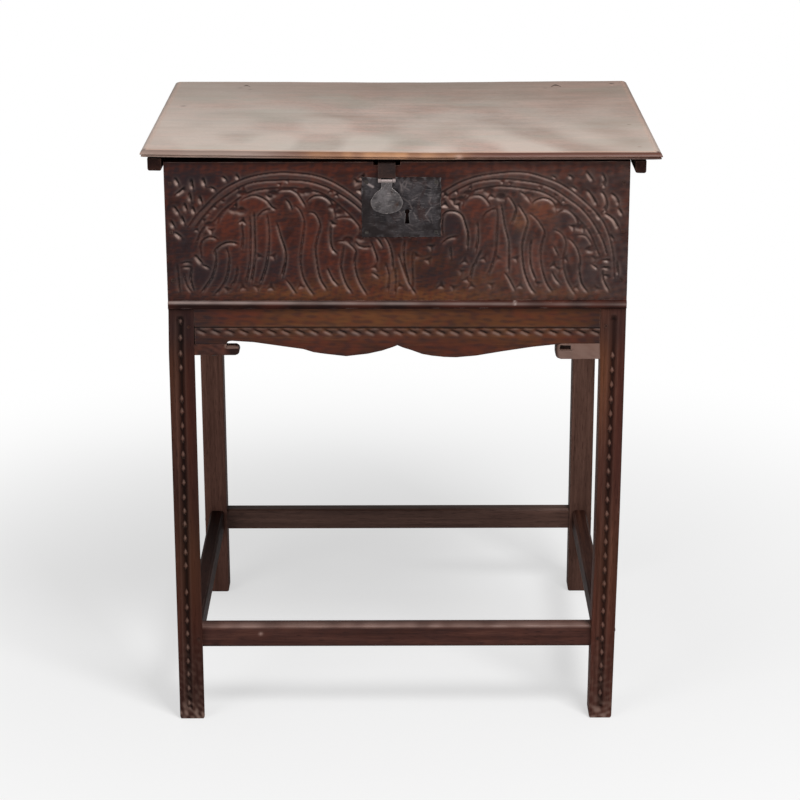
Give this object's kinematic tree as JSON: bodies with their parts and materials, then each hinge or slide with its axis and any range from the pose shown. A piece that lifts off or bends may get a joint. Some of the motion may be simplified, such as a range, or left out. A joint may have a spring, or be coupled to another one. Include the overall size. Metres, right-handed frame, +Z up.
{
  "type": "bible box on stand",
  "caption": "Oak box with a carved front, iron lock plate and hanging hasp, its moulded lid on wire hinges; it rests on an open stand with a shaped apron, square legs and low stretchers.",
  "frame": {"origin": "on the floor under the middle of the lid", "axes": "+Z up, +Y from the carved front to the back, +X to the right as seen from the front"},
  "size_m": [0.713, 0.518, 0.857],
  "materials": {
    "lid_oak": "old wax, worn pale",
    "carved_oak": "old dark wax",
    "box_oak": "old dark wax",
    "stand_oak": "old dark wax",
    "peg_oak": "old dark wax",
    "wrought_iron": "dark rust-browned wrought iron",
    "hasp_iron": "handled wrought iron",
    "nail_iron": "dark wrought iron"
  },
  "bodies": {
    "stand": {"front_left_leg": "stand_oak", "front_right_leg": "stand_oak", "back_left_leg": "stand_oak", "back_right_leg": "stand_oak", "front_apron": "stand_oak", "left_spur": "stand_oak", "right_spur": "stand_oak", "spur_nails": "nail_iron", "back_rail": "stand_oak", "left_rail": "stand_oak", "right_rail": "stand_oak", "front_stretcher": "stand_oak", "back_stretcher": "stand_oak", "left_stretcher": "stand_oak", "right_stretcher": "stand_oak", "top_joint_pegs": "peg_oak", "stretcher_joint_pegs": "peg_oak"},
    "box": {"front_board": "carved_oak", "back_board": "box_oak", "left_side_board": "box_oak", "right_side_board": "box_oak", "bottom_board": "box_oak", "carcass_nails": "nail_iron", "bottom_nails": "nail_iron", "left_box_loop": "wrought_iron", "right_box_loop": "wrought_iron", "lock_plate": "wrought_iron", "lock_plate_nails": "nail_iron", "bolt_guides": "wrought_iron", "guide_rivets": "nail_iron", "bolt_spring": "wrought_iron"},
    "lid": {"lid_board": "lid_oak", "left_cleat": "stand_oak", "right_cleat": "stand_oak", "cleat_nails": "nail_iron", "left_lid_loop": "wrought_iron", "right_lid_loop": "wrought_iron", "hasp_strap": "wrought_iron", "hasp_strap_nails": "nail_iron", "hasp_pin": "wrought_iron"},
    "hasp": {"hasp": "hasp_iron", "hasp_staple": "hasp_iron"},
    "bolt": {"lock_bolt": "wrought_iron"}
  },
  "joints": [
    {"name": "box_lift", "type": "slide", "parent": "stand", "child": "box", "axis": [0, 0, 1], "range_m": [0, 0.3]},
    {"name": "lid_hinge", "type": "hinge", "parent": "box", "child": "lid", "pos_m": [0, 0.253, 0.842], "axis": [-1, 0, 0], "range_deg": [0, 105]},
    {"name": "hasp_hinge", "type": "hinge", "parent": "lid", "child": "hasp", "pos_m": [-0.02, -0.2494, 0.817], "axis": [-1, 0, 0], "range_deg": [-9.5, 140]},
    {"name": "bolt_throw", "type": "slide", "parent": "box", "child": "bolt", "axis": [-1, 0, 0], "range_m": [0, 0.01]}
  ]
}
